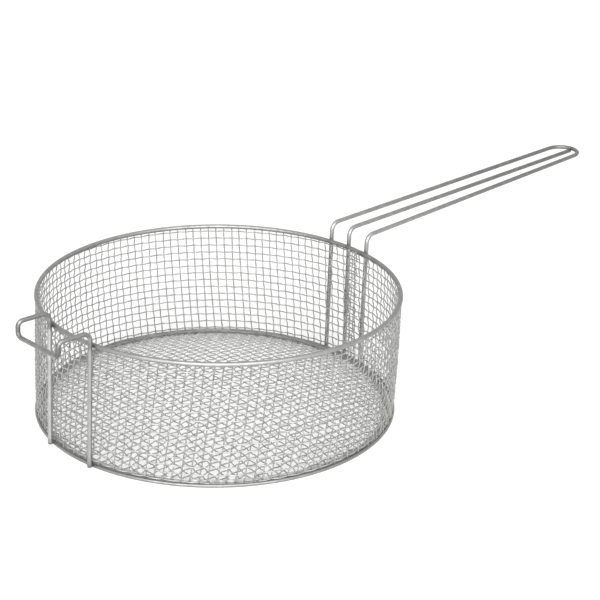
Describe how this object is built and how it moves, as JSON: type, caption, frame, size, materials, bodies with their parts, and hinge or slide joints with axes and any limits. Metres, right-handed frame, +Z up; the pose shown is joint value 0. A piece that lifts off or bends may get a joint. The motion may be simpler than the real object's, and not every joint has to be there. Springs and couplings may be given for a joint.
{
  "type": "deep fryer basket",
  "caption": "Round open basket of woven tinned wire with a wire rim and base ring, a long flat wire handle on one side and a hanging hook on the other, for lowering food into hot oil.",
  "frame": {"origin": "middle of the footprint of the whole part, on the surface it stands on", "axes": "+X along the handle away from the basket, +Z up through the basket's mouth"},
  "size_m": [0.6548, 0.305, 0.137],
  "materials": {
    "rim_ring": "bright smooth tinned wire, worn to a satin on top",
    "base_ring": "bright smooth tinned wire",
    "wall_mesh": "fine crimped tinned wire, woven",
    "floor_mesh": "fine crimped tinned wire, woven",
    "handle_loop": "bright tinned wire, drawn smooth",
    "handle_centre_wire": "bright tinned wire, drawn smooth",
    "front_hook": "bright tinned wire, drawn smooth"
  },
  "bodies": {
    "root": {"rim_ring": "rim_ring", "base_ring": "base_ring", "wall_mesh": "wall_mesh", "floor_mesh": "floor_mesh", "handle_loop": "handle_loop", "handle_centre_wire": "handle_centre_wire", "front_hook": "front_hook"}
  },
  "joints": []
}
